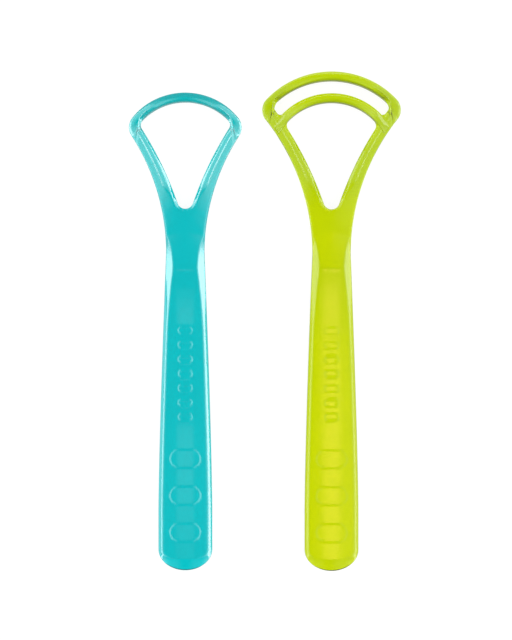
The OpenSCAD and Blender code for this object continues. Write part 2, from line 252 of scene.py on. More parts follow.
class ScraperSizes(bpy.types.PropertyGroup):
    """Sizes that both scrapers share"""

    handle_w: length("Handle width", "Width of the handle near its free end", 0.0161)
    handle_l: length("Handle length", "From the free end to the middle of the waist", 0.0948)
    waist_w: length("Waist width", "Width of the waist", 0.01145)
    handle_t: length("Handle thickness", "Thickness along the middle line", 0.0029)
    waist_t: length("Waist thickness", "Greatest thickness, at the waist", 0.0044)
    edge_t: length("Edge height", "Height of the handle's thin outer edge", 0.0017)
    waist_edge_t: length("Waist edge height", "Height of the outer edge at the waist", 0.00255)
    crown_h: length("Face crown", "How far the face falls from its middle to its edges", 0.00016)
    end_l: length("Free end", "Length of the rounded free end", 0.0063)
    end_slope_l: length("Free end slope", "Length of the slope at the tip of the free end", 0.0034)
    bevel_w: length("Side bevel", "Width of the side bevel along the handle", 0.0011)
    waist_bevel_w: length("Waist bevel", "Width of the side bevel at the waist", 0.0022)
    neck_l: length("Neck length", "From the middle of the waist to the bottom of the fork", 0.0134)
    fork_r: length("Fork radius", "Radius of the bottom of the fork", 0.00245)
    fork_angle: angle("Fork angle", "Angle between an arm's inner edge and the long axis", 18.9)
    flank_r: length("Flank radius", "Radius of the outer flank of the neck and arms", 0.065)
    arm_edge_r: length("Arm edge radius", "Radius of the inner edge of each arm", 0.106)
    arm_t: length("Arm height", "Height of the crest along each arm", 0.0031)
    arm_edge_t: length("Arm edge height", "Height of the outer edge of each arm", 0.0024)
    arm_inner_t: length("Arm inner height", "Height of the inner edge of each arm", 0.0022)
    arm_bevel_w: length("Arm bevel", "Width of the bevel along an arm's inner edge", 0.0008)
    arm_outer_bevel_w: length("Arm outer bevel", "Width of the bevel along its outer edge", 0.00025)
    arm_fall: length("Arm fall", "How far the arm's face falls from its crest", 0.0004)
    arc_rise: length("Arc rise", "From the bottom of the fork to the centre of the arcs", 0.01405)
    inner_arc_r: length("Inner blade radius", "Outer radius of the inner blade", 0.02055)
    blade_gap: length("Blade gap", "Gap between the two blades at their middle", 0.0038)
    blade_w: length("Blade width", "Width of a blade", 0.0027)
    blade_t: length("Blade height", "Height of a blade above the flat back", 0.0048)
    bead_h: length("Crest bead height", "Height of the bead along a crest", 0.0001)
    bead_w: length("Crest bead width", "Half the width of the bead along a crest", 0.00016)
    blade_fall: length("Blade fall", "How far a blade's face falls from its crest", 0.0005)
    blade_inner_t: length("Blade inner height", "Height of its inner edge", 0.00405)
    blade_outer_t: length("Blade outer height", "Height of its outer edge", 0.00375)
    blade_inner_bevel_w: length("Blade inner bevel", "Width of the bevel along its inner edge", 0.00055)
    blade_outer_bevel_w: length("Blade outer bevel", "Width of the bevel along its outer edge", 0.0006)
    corner_bevel_w: length("Corner bevel", "Width of that bevel at the head's corners", 0.0009)
    corner_drop: length("Corner drop", "How much lower a blade is at the head's corner", 0.0017)
    blade_end_drop: length("Blade end drop", "How much lower a crossing blade is at its ends", 0.0009)
    blade_end_w: length("Blade end slope", "Width of the slope at the ends of a crossing blade", 0.0006)
    outer_corner_r: length("Head corner radius", "Radius of the outer corners of a head", 0.00445)
    inner_corner_r: length("Opening corner radius", "Radius of the opening's corners", 0.0019)
    slot_corner_r: length("Slot corner radius", "Radius of the lower corners between two blades", 0.0011)
    wall_w: length("Bevel widening", "Length along which the outer bevel widens", 0.0016)
    turn_l: length("Turn length", "Length of the flank beside the opening's corner", 0.0028)
    tuck: length("Tuck", "How far a crossing blade ends inside the arms' edge", 0.00012)
    web_overlap: length("Web overlap", "How far a corner's web reaches into the arm and the blade", 0.0004)
    foot: length("Foot chamfer", "Height and width of the chamfer round the back", 0.0004)
    edge_round: length("Edge rounding", "How far the rounding of a sharp edge reaches", 0.00022)
    shoulder_round: length("Shoulder rounding", "How far the rounding of a shoulder reaches", 0.00034)
    mark_h: length("Loop height", "Height of the raised loops above the face", 0.00005)
    mark_line_w: length("Loop line", "Width of the bead that a loop is drawn with", 0.0004)
    large_loop_l: length("Large loop length", "Length of a large loop, across the handle", 0.0094)
    large_loop_w: length("Large loop width", "Width of a large loop", 0.0056)
    large_loop_gap: length("Large loop gap", "Gap between the large loops", 0.0054)
    first_large_y: length("First large loop", "Middle of the first large loop", 0.0115)
    small_loop_l: length("Small loop length", "Length of a small loop, across the handle", 0.0046)
    small_loop_w: length("Small loop width", "Width of a small loop", 0.0024)
    small_loop_gap: length("Small loop gap", "Gap between the small loops", 0.0019)
    first_small_y: length("First small loop", "Middle of the first small loop", 0.046)
    large_loops: IntProperty(name="Large loops", description="How many large loops", default=3, min=0)
    small_loops: IntProperty(name="Small loops", description="How many small loops", default=7, min=0)


class ScraperColours(bpy.types.PropertyGroup):
    """Colours of the two clear plastics, with the shade and highlights painted on their walls and rims"""

    cyan: colour("Cyan plastic", "Colour of the single-blade scraper", (0.04, 0.72, 0.755))
    cyan_depth: colour("Cyan in depth", "Colour that its thickness gains", (0.0, 0.988, 0.99))
    # Painted shade on the steep walls
    cyan_wall: colour("Cyan walls", "Colour that its steep walls show", (0.01, 0.3, 0.31))
    # Painted shade along the blade's and arms' outer rims
    cyan_rim: colour("Cyan rim", "Colour of the blade's and arms' outer rims", (0.01, 0.44, 0.46))
    cyan_head: colour("Cyan at the head", "What the colour is multiplied by at the head", (1.0, 0.97, 0.93))
    cyan_blade: colour("Cyan blade", "What that colour is divided by on the blade", (0.8, 1.0, 1.0))
    lime: colour("Lime plastic", "Colour of the double-blade scraper", (0.715, 0.84, 0.03))
    lime_depth: colour("Lime in depth", "Colour that its thickness gains", (0.97, 0.977, 0.0))
    # Painted shade on the steep walls
    lime_wall: colour("Lime walls", "Colour that its steep walls show", (0.16, 0.2, 0.01))
    # Painted highlight along the blades' and arms' outer rims
    lime_rim: colour("Lime rim", "Colour of the blades' and arms' outer rims", (0.8, 0.92, 0.1))
    lime_head: colour("Lime at the head", "What the colour is multiplied by at the head", (0.84, 0.92, 1.0))
    lime_blade: colour("Lime blades", "What that colour is divided by on the blades", (0.85, 0.88, 1.0))
    floor: colour("Floor", "Colour of the white floor", (0.8, 0.8, 0.8))


class StageSizes(bpy.types.PropertyGroup):
    """Sizes of the floor, the lamps and the camera's place"""

    camera_h: length("Camera height", "Height of the camera above the floor", 0.6987)
    camera_x: length("Camera place x", "Where the camera stands across the pair", -0.00266, -1.0)
    camera_y: length("Camera place y", "Where the camera stands along the pair", 0.00046, -1.0)
    floor_w: length("Floor width", "Width of the square floor", 6.0)
    floor_gap: length("Floor gap", "Gap between the flat backs and the floor", 0.0003)
    strip_h: length("Strip height", "Height of the overhead strips", 1.2)
    strip_w: length("Strip width", "Width of the widest of the nested overhead strips", 0.08)
    box_reach: length("Softbox distance", "Distance of the side softboxes", 1.0)
    box_w: length("Softbox height", "Height of a side softbox", 0.45)
    box_l: length("Softbox length", "Length of a side softbox", 2.0)
    back_box_w: length("Back softbox height", "Height of the softbox behind the head", 0.4)
    left_box_z: length("Left softbox foot", "Height of the left softbox's lower edge", 0.06)
    right_box_z: length("Right softbox foot", "Height of the right softbox's lower edge", 0.002)


# Curves and sections


def mix(a, b, w):
    """The value a share w of the way from a to b."""
    return a + (b - a) * w


def ease(w):
    """A smooth step: 0 up to w = 0, 1 from w = 1, and level at both ends."""
    w = np.clip(w, 0, 1)
    return w * w * (3 - 2 * w)


def steps(start, end, count):
    """count even steps from start, up to but without end."""
    return np.linspace(start, end, count, endpoint=False)


def unit(v):
    """The direction of v: v over its own length."""
    return v / np.abs(v)


def polar(centre, r, turn):
    """The point at distance r and angle turn from centre: centre + r e^(i turn)."""
    return centre + r * np.exp(1j * turn)


def crossing(a, ra, b, rb):
    """The crossing of two circles that lies on the left of the way from centre a to centre b. It lies
    (d^2 + ra^2 - rb^2) / 2d along that way, and aside by what is left of ra."""
    d = np.abs(b - a)
    along = (d * d + ra * ra - rb * rb) / (2 * d)
    aside = np.sqrt(np.maximum(0, ra * ra - along * along))
    return a + (along + 1j * aside) * (b - a) / d


# How sections lie along one half, from the middle line or the inner edge to the outer edge. The first
# five are plan points and directions. fall is how far the face falls from its crest to its outer edge,
# form is 0 on the handle and 1 on an arm or a blade, cut is how much of the inner bevel's depth there
# is, edge is how far the inner edge is rounded, and bead is how much of the crest's bead there is.
Sections = namedtuple(
    "Sections", "inner face_in face_out outer inward face_t inner_t outer_t fall form cut edge bead"
)


def sections(*values):
    """Sections from columns, with single values repeated for each section."""
    return Sections(*np.broadcast_arrays(*values))


def join(parts):
    """Sections laid end to end."""
    return Sections(*(np.concatenate(column) for column in zip(*parts)))


def changed(start, low, high, w, *names):
    """The sections start with their named columns mixed from low to high."""
    return start._replace(**{name: mix(getattr(low, name), getattr(high, name), w) for name in names})


def arc_centre(s):
    """Centre of the blades' arcs, arc_rise above the bottom of the fork."""
    return 1j * (s.handle_l + s.neck_l + s.arc_rise)


def outer_arc_r(s):
    """Outer radius of the outer blade: the inner blade's, the gap and the blade's own width."""
    return s.inner_arc_r + s.blade_gap + s.blade_w


def flank_centre(s):
    """Centre of the outer flank's arc, which touches the waist."""
    return complex(s.waist_w / 2 + s.flank_r, s.handle_l)


def fork_centre(s):
    """Centre of the fork's round bottom."""
    return 1j * (s.handle_l + s.neck_l + s.fork_r)


def arm_edge_centre(s):
    """Centre of the arm's inner edge, an arc that runs on smoothly from the fork's round bottom."""
    return polar(fork_centre(s), s.arm_edge_r + s.fork_r, -s.fork_angle)


def corner_centre(s, arc_r):
    """Centre of a head's rounded outer corner, where the flank meets the blade."""
    return crossing(
        arc_centre(s), arc_r - s.outer_corner_r, flank_centre(s), s.flank_r + s.outer_corner_r
    )


def hole_centre(s, arc_r):
    """Centre of the opening's rounded corner, where the arm's inner edge meets the blade."""
    return crossing(
        arc_centre(s), arc_r - s.blade_w - s.inner_corner_r,
        arm_edge_centre(s), s.arm_edge_r + s.inner_corner_r,
    )


def flank_x(s, y):
    """x of the outer flank at y: its centre's x less the root of r^2 - (y - waist)^2."""
    return flank_centre(s).real - np.sqrt(s.flank_r**2 - (y - s.handle_l) ** 2)


def side_x(s, y):
    """Half the width at y. Along the handle it falls from the handle's to the waist's as the share of
    the taper to TAPER_POWER, and above the waist it is the flank's arc."""
    taper_y = s.handle_l * TAPER_START_SHARE
    narrowed = np.clip((y - taper_y) / (s.handle_l - taper_y), 0, 1) ** TAPER_POWER
    return np.where(
        y < s.handle_l, mix(s.handle_w, s.waist_w, narrowed) / 2, flank_x(s, np.maximum(y, s.handle_l))
    )


def stations(s):
    """The y where the handle begins to rise, where the waist is thickest, where its wide bevels have run
    out, and of the bottom of the fork."""
    return (
        s.handle_l * RISE_START_SHARE, s.handle_l * THICKEST_SHARE, s.handle_l + s.neck_l * FADE_SHARE,
        s.handle_l + s.neck_l,
    )


def waist_share(s, y):
    """0 on the handle, about 1 where the waist is thickest, 0 again where its wide bevels have run out.
    The lower of the rise a and the fade b, rounded: mix(b, a, w) - k w (1 - w), w = 1/2 + (b - a) / 2k."""
    rise_y, thickest_y, fade_y, _ = stations(s)
    rise = np.maximum(0, (y - rise_y) / (thickest_y - rise_y)) ** RISE_POWER
    fade = np.maximum(0, (fade_y - y) / (fade_y - thickest_y))
    w = np.clip(0.5 + (fade - rise) / (2 * WAIST_ROUND), 0, 1)
    return mix(fade, rise, w) - WAIST_ROUND * w * (1 - w)


def free_end_sections(s):
    """Sections fanned out between the middle line and the free end's half ellipse. The face ends on a
    squarer curve inside it, |x/a|^p + |y/b|^p = 1."""
    w = steps(0, 1, FAN_STEPS)
    turn = mix(-math.pi / 2, 0, w)
    c = np.cos(turn)
    d = -np.sin(turn)
    outer_r = 1 / np.hypot(c / (s.handle_w / 2), d / s.end_l)
    face_a = s.handle_w / 2 - s.bevel_w
    face_b = s.end_l - s.end_slope_l
    face_r = ((c / face_a) ** FACE_END_POWER + (d / face_b) ** FACE_END_POWER) ** (-1 / FACE_END_POWER)
    centre = 1j * s.end_l
    middle = centre * mix(FAN_START_SHARE, 1, w)
    face_out = polar(centre, face_r, turn)
    return sections(
        middle, mix(middle, face_out, FACE_START_SHARE), face_out, polar(centre, outer_r, turn), -1j,
        s.handle_t, s.handle_t, s.edge_t, s.arm_fall, 0.0, 0.0, 0.0, 0.0,
    )


def handle_sections(s, y):
    """Sections across the handle or the neck at y. Heights and bevels go from the handle's to the arms'
    past the waist, with the waist's mixed in by waist_share. Sections lean back as they near the fork."""
    _, thickest_y, fade_y, fork_y = stations(s)
    share = waist_share(s, y)
    lean = ease((y - thickest_y) / (fork_y - thickest_y)) * math.tan(s.fork_angle)
    outer_y = y - lean * side_x(s, y)
    outer = side_x(s, outer_y) + 1j * outer_y
    past = ease((y - thickest_y) / (fade_y - thickest_y) + 0.5)
    bevel = mix(
        mix(s.bevel_w, s.waist_bevel_w, share),
        np.maximum(s.arm_outer_bevel_w, s.waist_bevel_w * share**FADE_POWER),
        past,
    )
    middle = 1j * y
    face_out = outer - bevel * unit(outer - middle)
    face_t = mix(mix(s.handle_t, s.arm_t, past), s.waist_t, share)
    outer_t = mix(mix(s.edge_t, s.arm_edge_t, past), s.waist_edge_t, share)
    form = NECK_FORM_SHARE * ease((y - fade_y) / (fork_y - fade_y))
    return sections(
        middle, mix(middle, face_out, FACE_START_SHARE), face_out, outer, -1j,
        face_t, face_t, outer_t, s.arm_fall, form, 0.0, 0.0, 0.0,
    )


def arm_sections(s, inner, outer, inward, form, cut):
    """Sections across an arm, between two points of its edges. Both bevels have one width each."""
    across = unit(outer - inner)
    return sections(
        inner, inner + s.arm_bevel_w * across, outer - s.arm_outer_bevel_w * across, outer, inward,
        s.arm_t, s.arm_inner_t, s.arm_edge_t, s.arm_fall, form, cut, s.edge_round,
        ease((form - BEAD_FORM) / (1 - BEAD_FORM)),
    )


def blade_sections(s, inner, outer, inward, share):
    """Sections across a blade. Its top is lower by corner_drop (1 - ease(share)), and its outer bevel
    goes from the corner's width to the blade's."""
    across = unit(outer - inner)
    drop = s.corner_drop * (1 - ease(share))
    outer_bevel = mix(s.corner_bevel_w, s.blade_outer_bevel_w, ease(share / CORNER_RISE_SHARE))
    return sections(
        inner, inner + s.blade_inner_bevel_w * across, outer - outer_bevel * across, outer,
        inward, s.blade_t - drop, s.blade_inner_t - drop, s.blade_outer_t - drop,
        s.blade_fall, 1.0, 1.0, s.edge_round, 1 - ease((share - BEAD_END_SHARE) / (1 - BEAD_END_SHARE)),
    )


def half_sections(s, arc_r):
    """All the sections of one half, and the number of the first one at the fork."""
    flank = flank_centre(s)
    arcs = arc_centre(s)
    arm_edge = arm_edge_centre(s)
    corner = corner_centre(s, arc_r)
    hole = hole_centre(s, arc_r)
    inner_r = arc_r - s.blade_w
    rise_y, thickest_y, fade_y, fork_y = stations(s)
    # Where the fork's round bottom ends, and how far back the sections there reach the flank
    throat = polar(fork_centre(s), s.fork_r, -s.fork_angle)
    throat_reach = (flank_x(s, throat.imag) - throat.real) * math.cos(s.fork_angle)
    throat_outer_y = throat.imag - throat_reach * math.sin(s.fork_angle)
    fork_outer_y = fork_y - math.tan(s.fork_angle) * float(side_x(s, fork_y))
    arm_from = np.angle(throat - arm_edge)
    arm_to = np.angle(hole - arm_edge)
    hole_from = np.angle(arm_edge - hole)
    hole_to = np.angle(hole - arcs)
    corner_from = np.angle(flank - corner)
    corner_to = np.angle(corner - arcs)
    flank_from = math.pi - math.asin((throat_outer_y - s.handle_l) / s.flank_r)
    flank_to = np.angle(corner - flank)
    wall_from = flank_to + s.wall_w / s.flank_r
    turn_from = wall_from + s.turn_l / s.flank_r
    blade_from = hole_to + WALL_IN_SHARE * s.wall_w / inner_r
    blade_turned = blade_from + CORNER_IN_SHARE * s.outer_corner_r / inner_r

    w = steps(0, 1, FORK_STEPS)
    turn = mix(-math.pi / 2, -s.fork_angle, w)
    outer_y = mix(fork_outer_y, throat_outer_y, w)
    fork = arm_sections(
        s, polar(fork_centre(s), s.fork_r, turn), flank_x(s, outer_y) + 1j * outer_y,
        np.exp(1j * turn), mix(NECK_FORM_SHARE, THROAT_FORM_SHARE, w), FORK_CUT_SHARE,
    )
    w = steps(0, 1, ARM_STEPS)
    turn = mix(arm_from, arm_to, w)
    arm = arm_sections(
        s, polar(arm_edge, s.arm_edge_r, turn), polar(flank, s.flank_r, mix(flank_from, turn_from, w)),
        -np.exp(1j * turn), mix(THROAT_FORM_SHARE, 1, ease(w / ARM_FORM_SHARE)),
        mix(FORK_CUT_SHARE, 1, ease(w / ARM_BEVEL_SHARE)),
    )
    w = np.linspace(0, 1, TURN_STEPS + 1)
    turn = mix(hole_from, hole_to, w)
    edges = polar(hole, s.inner_corner_r, turn), polar(flank, s.flank_r, mix(turn_from, wall_from, w))
    as_arm = arm_sections(s, *edges, np.exp(1j * turn), 1.0, 1.0)
    as_blade = blade_sections(s, *edges, np.exp(1j * turn), 0.0)
    about_corner = changed(as_arm, as_arm, as_blade, ease(w), "face_in", "face_t", "inner_t", "fall")
    w = steps(0, 1, CORNER_STEPS)
    turn = mix(blade_from, blade_turned, w)
    blade_corner = blade_sections(
        s, polar(arcs, inner_r, turn), polar(corner, s.outer_corner_r, mix(corner_from, corner_to, w)),
        np.exp(1j * turn), w * CORNER_RISE_SHARE,
    )
    w = np.linspace(0, 1, ARC_STEPS + 1)
    turn = mix(blade_turned, math.pi / 2, w)
    blade = blade_sections(
        s, polar(arcs, inner_r, turn), polar(arcs, arc_r, mix(corner_to, math.pi / 2, w)),
        np.exp(1j * turn), mix(CORNER_RISE_SHARE, 1, np.clip(w / ARC_RISE_SHARE, 0, 1)),
    )
    # Between those two the outer bevel widens to the corner's
    w = np.arange(1, WALL_STEPS) / WALL_STEPS
    edges = [
        mix(getattr(about_corner, name)[-1], getattr(blade_corner, name)[0], w)
        for name in ("inner", "outer", "inward")
    ]
    as_arm = arm_sections(s, *edges, 1.0, 1.0)
    as_blade = blade_sections(s, *edges, 0.0)
    wall = changed(as_blade, as_arm, as_blade, ease(w), "face_out", "outer_t")
    handle_y = np.concatenate([
        steps(s.end_l, rise_y, HANDLE_STEPS), steps(rise_y, thickest_y, RISE_STEPS),
        steps(thickest_y, fade_y, FADE_STEPS), steps(fade_y, fork_y, NECK_STEPS),
    ])
    parts = [
        free_end_sections(s), handle_sections(s, handle_y), fork, arm, about_corner, wall, blade_corner,
        blade,
    ]
    return join(parts), FAN_STEPS + len(handle_y)


def fallen(share, crest):
    """How far a face with its crest at the share crest has fallen at another share of its width,
    |share - crest|^power, which is 1 at its outer edge."""
    return (np.abs(share - crest) / (1 - crest)) ** CREST_POWER


def face_height(s, sec, share, x):
    """Height of the face: its top, less a crown x^2 on the handle, or on an arm or a blade less its
    fall, with a bead h = bead_h exp(-(d / bead_w)^2) at the distance d from its crest. The crest runs
    from the fork's edge out to its place on the arm."""
    crown = s.crown_h * (1 - sec.form) * (x / (s.handle_w / 2)) ** 2
    crest = CREST_SHARE * ease((sec.form - THROAT_FORM_SHARE) / (1 - THROAT_FORM_SHARE))
    aside = (share - crest) * np.abs(sec.face_out - sec.face_in) / s.bead_w
    bead = s.bead_h * sec.bead * np.exp(-aside**2)
    return sec.face_t - crown - sec.fall * sec.form * fallen(share, crest) + bead


def bent(before, corner, after, reach, measured=3):
    """A corner, or the same corner of every section, as EDGE_POINTS points of the quadratic curve
    (1 - t)^2 start + 2 t (1 - t) corner + t^2 end. It starts on the edge before and ends on the edge
    after, both at the distance reach from the corner or at BEND_SHARE of the edge. Edges are measured
    in their first columns, as many as measured says."""

    def cut(towards):
        """Where the curve touches the edge towards a neighbour."""
        edge = towards - corner
        long = np.maximum(np.linalg.norm(edge[..., :measured], axis=-1), TINY)
        return (corner + edge * np.minimum(reach / long, BEND_SHARE)[..., None])[..., None, :]

    t = np.linspace(0, 1, EDGE_POINTS)[:, None]
    return (1 - t) ** 2 * cut(before) + 2 * t * (1 - t) * corner[..., None, :] + t**2 * cut(after)


def lift(plan, height):
    """Plan points and heights as rows of x, y, z."""
    plan, height = np.broadcast_arrays(plan, height)
    return np.stack([plan.real, plan.imag, height], axis=-1)


def section_rings(s, sec):
    """Every section as a closed ring of points: the inner side from the back up, the face from the
    inner side out, the bevel, and the outer side down to the back. The sharp corners are bent round.
    Returns the rings and how many of their points belong to the inner side."""
    across = unit(sec.outer - sec.inner)
    inner_top = mix(face_height(s, sec, 0.0, 0.0), sec.inner_t, sec.cut)
    share = np.array(FACE_SHARES)[None, :]
    wide = Sections(*(column[:, None] for column in sec))
    face_plan = mix(wide.face_in, wide.face_out, share)
    face = lift(face_plan, face_height(s, wide, share, face_plan.real))
    middle_t = mix(sec.outer_t, face[:, -1, 2], BEVEL_MID_SHARE)
    p_back_in = lift(sec.inner + s.foot * sec.inward, 0.0)
    p_foot_in = lift(sec.inner, s.foot)
    p_inner = lift(sec.inner, inner_top)
    p_bevel = lift((sec.face_out + sec.outer) / 2, middle_t)
    p_outer = lift(sec.outer, sec.outer_t)
    p_foot = lift(sec.outer, s.foot)
    p_back = lift(sec.outer - s.foot * across, 0.0)
    inner_side = [p_back_in[:, None], p_foot_in[:, None], bent(p_foot_in, p_inner, face[:, 0], sec.edge)]
    rest = [
        bent(p_inner, face[:, 0], face[:, 2], np.where(sec.form > 0, s.shoulder_round, 0)),
        face[:, 2:-2],
        bent(face[:, -3], face[:, -1], p_bevel, s.shoulder_round),
        p_bevel[:, None],
        bent(p_bevel, p_outer, p_foot, s.edge_round),
        bent(p_outer, p_foot, p_back, s.edge_round),
        p_back[:, None],
    ]
    inner_points = sum(part.shape[1] for part in inner_side)
    return np.concatenate(inner_side + rest, axis=1), inner_points


def grid_quads(rows, columns, wrap_rows=False, wrap_columns=False):
    """Corner numbers of the quads of a grid of points, four for each quad. A wrapped side closes on
    itself."""
    k = np.arange(rows if wrap_rows else rows - 1)[:, None]
    j = np.arange(columns if wrap_columns else columns - 1)[None, :]
    k2 = (k + 1) % rows
    j2 = (j + 1) % columns
    return np.stack(np.broadcast_arrays(
        k * columns + j, k2 * columns + j, k2 * columns + j2, k * columns + j2
    ), axis=-1)


def prism_faces(rows, columns):
    """Faces of a row of rings as lists of corners: the quads between the rings and the two end faces."""
    quads = grid_quads(rows, columns, wrap_columns=True).reshape(-1, 4).tolist()
    return quads + [list(range(columns)), list(range((rows - 1) * columns, rows * columns))]


def closed_mesh(name, points, faces):
    """A mesh of the points and faces with doubles merged, unused points gone and faces outwards."""
    mesh = bpy.data.meshes.new(name)
    mesh.from_pydata(points.reshape(-1, 3), [], faces)
    bm = bmesh.new()
    bm.from_mesh(mesh)
    bmesh.ops.remove_doubles(bm, verts=bm.verts, dist=MERGE_DISTANCE)
    bmesh.ops.delete(bm, geom=[v for v in bm.verts if not v.link_faces], context="VERTS")
    bmesh.ops.recalc_face_normals(bm, faces=bm.faces)
    bm.to_mesh(mesh)
    bm.free()
    return mesh


def moulding_mesh(s, arc_r):
    """Handle, arms and outer blade as one closed surface. The rings of one half are mirrored, and the
    two halves share the middle line. Below the fork a half has no inner side."""
    sec, fork = half_sections(s, arc_r)
    rings, inner_points = section_rings(s, sec)
    rings[:fork + 1, :inner_points, 0] = 0
    rings[[0, -1], :, 0] = 0
    count, around = rings.shape[:2]
    quads = grid_quads(count, around, wrap_columns=True)
    j = np.arange(around)
    on_inner_side = j < inner_points - 1
    keep = ~(on_inner_side[None, :] & (np.arange(count - 1)[:, None] < fork))
    half = quads[keep]
    mirrored = rings * np.array([-1, 1, 1])
    points = np.concatenate([rings.reshape(-1, 3), mirrored.reshape(-1, 3)])
    return closed_mesh("moulding", points, np.concatenate([half, half[:, ::-1] + count * around]))


def reach_angle(s, r, inside, arc_r):
    """Angle about the arcs' centre at which the circle of radius r comes within the distance inside of
    the head's outline: on its rounded corner, or further down on the flank."""
    corner = corner_centre(s, arc_r)
    arcs = arc_centre(s)
    flank = flank_centre(s)
    on_round = crossing(corner, s.outer_corner_r - inside, arcs, r)
    on_flank = crossing(arcs, r, flank, s.flank_r + inside)
    reaches = np.abs(corner - arcs) - s.outer_corner_r + inside <= r
    turned = np.angle(on_round - corner) >= np.angle(flank - corner)
    return np.angle(np.where(reaches & turned, on_round, on_flank) - arcs)


def crossing_blade_mesh(s, r, arc_r):
    """A blade of outer radius r from flank to flank across the arms of a head with a larger one. Its
    section, drawn as distance from the arcs' centre, height, distance inside the outline and share of
    the drop towards its ends, is carried along the arc and rounded off at both ends."""
    inner = r - s.blade_w
    face_in = inner + s.blade_inner_bevel_w
    face_out = r - s.blade_outer_bevel_w
    share = np.array(FACE_SHARES)
    top_in = s.tuck + s.blade_end_w
    face = np.column_stack([
        mix(face_in, face_out, share), s.blade_t - s.blade_fall * fallen(share, CREST_SHARE),
        np.full(share.shape, top_in), np.ones(share.shape),
    ])
    back_in = np.array([inner + s.foot, BACK_LIFT, s.tuck + s.foot, 0.0])
    foot_in = np.array([inner, s.foot, s.tuck, 0.0])
    edge_in = np.array([inner, s.blade_inner_t, top_in, 1.0])
    edge_out = np.array([r, s.blade_outer_t, top_in, 1.0])
    foot_out = np.array([r, s.foot, s.tuck, 0.0])
    back_out = np.array([r - s.foot, BACK_LIFT, s.tuck + s.foot, 0.0])
    ring = np.concatenate([
        [back_in, foot_in],
        bent(foot_in, edge_in, face[1], s.edge_round, 2),
        face[2:-2],
        bent(face[-3], face[-1], edge_out, s.shoulder_round, 2),
        bent(face[-1], edge_out, foot_out, s.edge_round, 2),
        [foot_out, back_out],
    ])
    distance, height, inside, fall = ring.T
    ends = reach_angle(s, distance, inside, arc_r)
    w = np.linspace(0, 1, CROSSING_STEPS + 1)[:, None]
    turn = mix(ends[None, :], math.pi - ends[None, :], w)
    near_end = np.minimum(w, 1 - w)
    drop = s.blade_end_drop * (1 - ease(near_end / BLADE_END_SHARE))
    plan = polar(arc_centre(s), distance[None, :], turn)
    points = lift(plan, height[None, :] - drop * fall[None, :])
    return closed_mesh("crossing_blade", points, prism_faces(*points.shape[:2]))


def corner_web_mesh(s, blade_r, round_r, side):
    """Two webs that round off the corners between the arms and the edge of radius blade_r of a crossing
    blade, seen from inside that edge where side is -1 and from outside where it is 1. Each is an arc of
    radius round_r, closed behind it inside the arm and the blade, and carried up from the back to the
    height of the arm's inner edge."""
    arm_edge = arm_edge_centre(s)
    arcs = arc_centre(s)
    hole = crossing(arcs, blade_r + side * round_r, arm_edge, s.arm_edge_r + round_r)
    turn = np.unwrap([np.angle(arm_edge - hole), np.angle(-side * (hole - arcs))])
    arc = polar(hole, round_r, np.linspace(*turn, WEB_POINTS))
    behind = [
        arc[-1] + s.web_overlap * unit(arc[-1] - hole),
        crossing(arcs, blade_r - side * s.web_overlap, arm_edge, s.arm_edge_r - s.web_overlap),
        arc[0] + s.web_overlap * unit(arc[0] - hole),
    ]
    plan = np.concatenate([arc, behind])
    count = len(plan)
    half = np.concatenate([lift(plan, 2 * BACK_LIFT), lift(plan, s.arm_inner_t)])
    faces = prism_faces(2, count)
    other = [[corner + 2 * count for corner in reversed(face)] for face in faces]
    return closed_mesh("corner_webs", np.concatenate([half, half * (-1, 1, 1)]), faces + other)


def loop_path(loop_l, loop_w):
    """A stadium as plan points about its own middle, and the direction out of it at each. It is a
    circle whose halves are drawn apart along x."""
    turn = steps(0, 2 * math.pi, LOOP_POINTS)
    out = np.exp(1j * turn)
    apart = np.where(np.abs(out.real) < TINY, 0, np.sign(out.real)) * (loop_l - loop_w) / 2
    return apart + out * loop_w / 2, out


def loops_mesh(s):
    """The raised loops: a bead h = mark_h (1 + cos(pi u)) / 2 carried round each stadium, its edges sunk
    a little into the face."""
    marks = [
        (s.first_large_y + k * (s.large_loop_w + s.large_loop_gap), s.large_loop_l, s.large_loop_w)
        for k in range(s.large_loops)
    ] + [
        (s.first_small_y + k * (s.small_loop_w + s.small_loop_gap), s.small_loop_l, s.small_loop_w)
        for k in range(s.small_loops)
    ]
    u = np.linspace(-1, 1, BEAD_POINTS)
    bead_h = np.append(s.mark_h * (1 + np.cos(math.pi * u)) / 2 - LOOP_SINK, [-s.mark_h, -s.mark_h])
    bead_u = np.append(u, [1, -1])
    points = []
    quads = []
    for y, loop_l, loop_w in marks:
        path, out = loop_path(loop_l, loop_w)
        plan = 1j * y + path[:, None] + out[:, None] * (bead_u - 1) * s.mark_line_w / 2
        rise = (s.waist_t - s.handle_t) * waist_share(s, plan.imag)
        face = s.handle_t + rise - s.crown_h * (plan.real / (s.handle_w / 2)) ** 2
        rows, columns = plan.shape
        quads.append(grid_quads(rows, columns, True, True).reshape(-1, 4) + rows * columns * len(points))
        points.append(lift(plan, face + bead_h))
    return closed_mesh("loops", np.concatenate(points), np.concatenate(quads))


